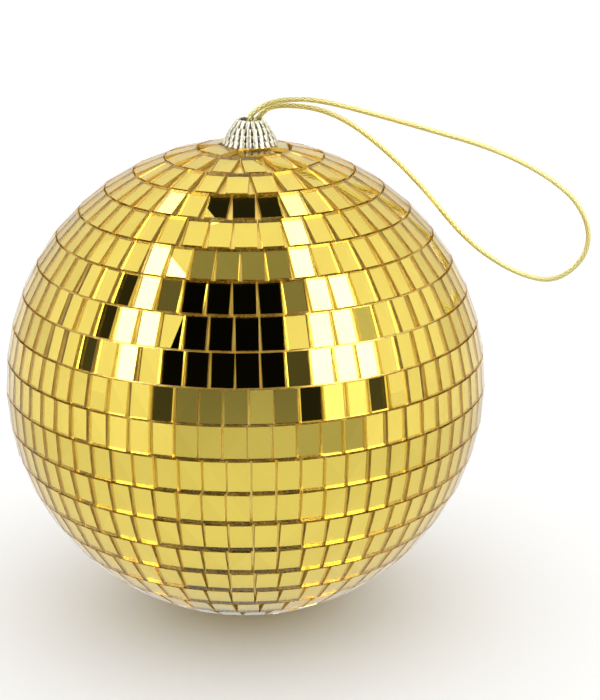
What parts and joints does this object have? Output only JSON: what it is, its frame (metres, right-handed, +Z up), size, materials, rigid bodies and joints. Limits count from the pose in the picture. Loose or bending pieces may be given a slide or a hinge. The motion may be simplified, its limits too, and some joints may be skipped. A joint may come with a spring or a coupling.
{
  "type": "mirror ball",
  "caption": "Hanging ball covered in rows of flat gold mirror tiles, with a knurled silver cap on top and a gold cord loop that swivels and tilts at the cap's mouth.",
  "frame": {"origin": "centre of the cap's mouth, where the cord comes out of the top of the ball", "axes": "+Z up along the ball's axis through both poles; the cord loop leans out to +X in the plane Y = 0"},
  "size_m": [0.2429, 0.1996, 0.218],
  "materials": {
    "gold_mirror": "gold mirror glass, polished",
    "gold_film": "satin gold film",
    "foam": "white expanded polystyrene beads",
    "silver_cap": "bright, knurled",
    "glue": "clear hot-melt glue",
    "white_plastic": "moulded",
    "steel": "zinc plated",
    "gold_cord": "metallic gold braid"
  },
  "bodies": {
    "ball": {"core_upper_half": "foam", "core_lower_half": "foam", "backing_upper": "gold_film", "backing_lower": "gold_film", "pole_disc": "gold_mirror", "cap": "silver_cap", "cap_glue_ring": "glue", "cord_plug": "white_plastic", "load_washer": "steel", "guide_sleeve": "white_plastic", "tile_row_01": "gold_mirror", "tile_row_02": "gold_mirror", "tile_row_03": "gold_mirror", "tile_row_04": "gold_mirror", "tile_row_05": "gold_mirror", "tile_row_06": "gold_mirror", "tile_row_07": "gold_mirror", "tile_row_08": "gold_mirror", "tile_row_09": "gold_mirror", "tile_row_10": "gold_mirror", "tile_row_11": "gold_mirror", "tile_row_12": "gold_mirror", "tile_row_13": "gold_mirror", "tile_row_14": "gold_mirror", "tile_row_15": "gold_mirror", "tile_row_16": "gold_mirror", "tile_row_17": "gold_mirror", "tile_row_18": "gold_mirror", "tile_row_19": "gold_mirror", "tile_row_20": "gold_mirror", "tile_row_21": "gold_mirror", "tile_row_22": "gold_mirror"},
    "cord_root": {"cord_knot": "gold_cord", "cord_stem": "gold_cord"},
    "cord": {"cord_loop": "gold_cord"}
  },
  "joints": [
    {"name": "cord_swivel", "type": "hinge", "parent": "ball", "child": "cord_root", "pos_m": [0, 0, 0], "axis": [0, 0, 1], "continuous": true},
    {"name": "cord_tilt", "type": "hinge", "parent": "cord_root", "child": "cord", "pos_m": [0, 0, 0.0012], "axis": [0, -1, 0], "range_deg": [-1, 110]}
  ]
}
